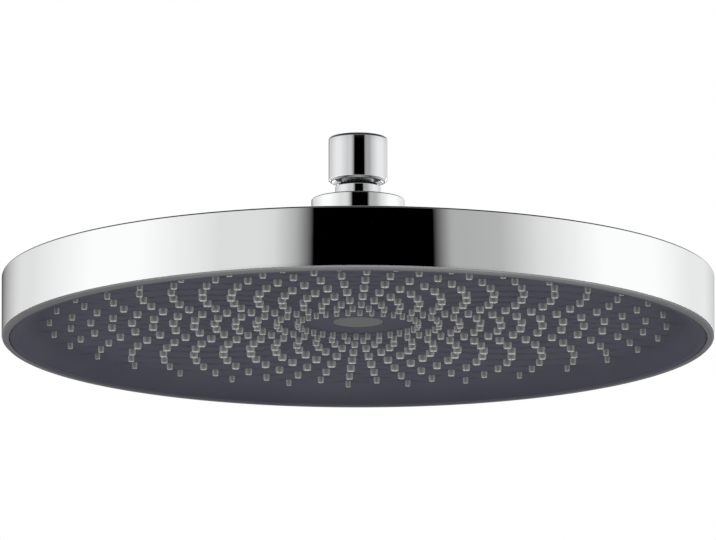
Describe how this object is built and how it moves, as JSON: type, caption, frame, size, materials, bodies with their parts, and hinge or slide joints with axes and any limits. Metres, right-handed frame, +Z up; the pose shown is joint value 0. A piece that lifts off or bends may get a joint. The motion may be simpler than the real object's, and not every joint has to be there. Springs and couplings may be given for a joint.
{
  "type": "rain shower head",
  "caption": "Round overhead rain shower head: chrome drum with a dished dark spray face full of short soft nozzles, hung on a ball joint under a threaded swivel nut.",
  "frame": {"origin": "centre of the inlet thread's mouth, at the top of the swivel nut", "axes": "+Z up along the inlet thread, the way the supply arm leaves; the spray faces -Z; +X is the axis that the head tilts about at rest"},
  "size_m": [0.3, 0.3, 0.0867],
  "materials": {
    "chrome_plating": "polished",
    "chrome_metal": "polished",
    "slate_plastic": "satin",
    "grey_silicone": "satin",
    "grey_trim": "satin",
    "grey_abs": "matte",
    "black_acetal": "satin",
    "white_acetal": "satin",
    "black_rubber": "matte",
    "steel_screen": "satin",
    "brass": "satin"
  },
  "bodies": {
    "inlet": {"swivel_nut": "chrome_metal", "inlet_washer": "black_rubber", "strainer_screen": "steel_screen", "upper_ball_seat": "white_acetal"},
    "ball_socket": {"ball_retaining_ring": "black_acetal"},
    "head": {"ball_stud": "chrome_metal", "flow_regulator": "white_acetal", "regulator_ring": "black_rubber", "collar_gasket": "black_rubber", "back_shell": "chrome_plating", "threaded_insert": "brass", "stud_seal": "black_rubber", "water_chamber": "grey_abs", "nozzle_mat": "grey_silicone", "spray_face": "slate_plastic", "chamber_screws": "steel_screen", "trim_ring": "grey_trim", "centre_screw": "steel_screen", "centre_screw_washer": "black_rubber", "centre_cap": "grey_trim"}
  },
  "joints": [
    {"name": "head_swivel", "type": "hinge", "parent": "inlet", "child": "ball_socket", "pos_m": [0, 0, -0.01544], "axis": [0, 0, 1], "continuous": true},
    {"name": "head_tilt", "type": "hinge", "parent": "ball_socket", "child": "head", "pos_m": [0, 0, -0.01544], "axis": [1, 0, 0], "range_deg": [-12, 12]}
  ]
}
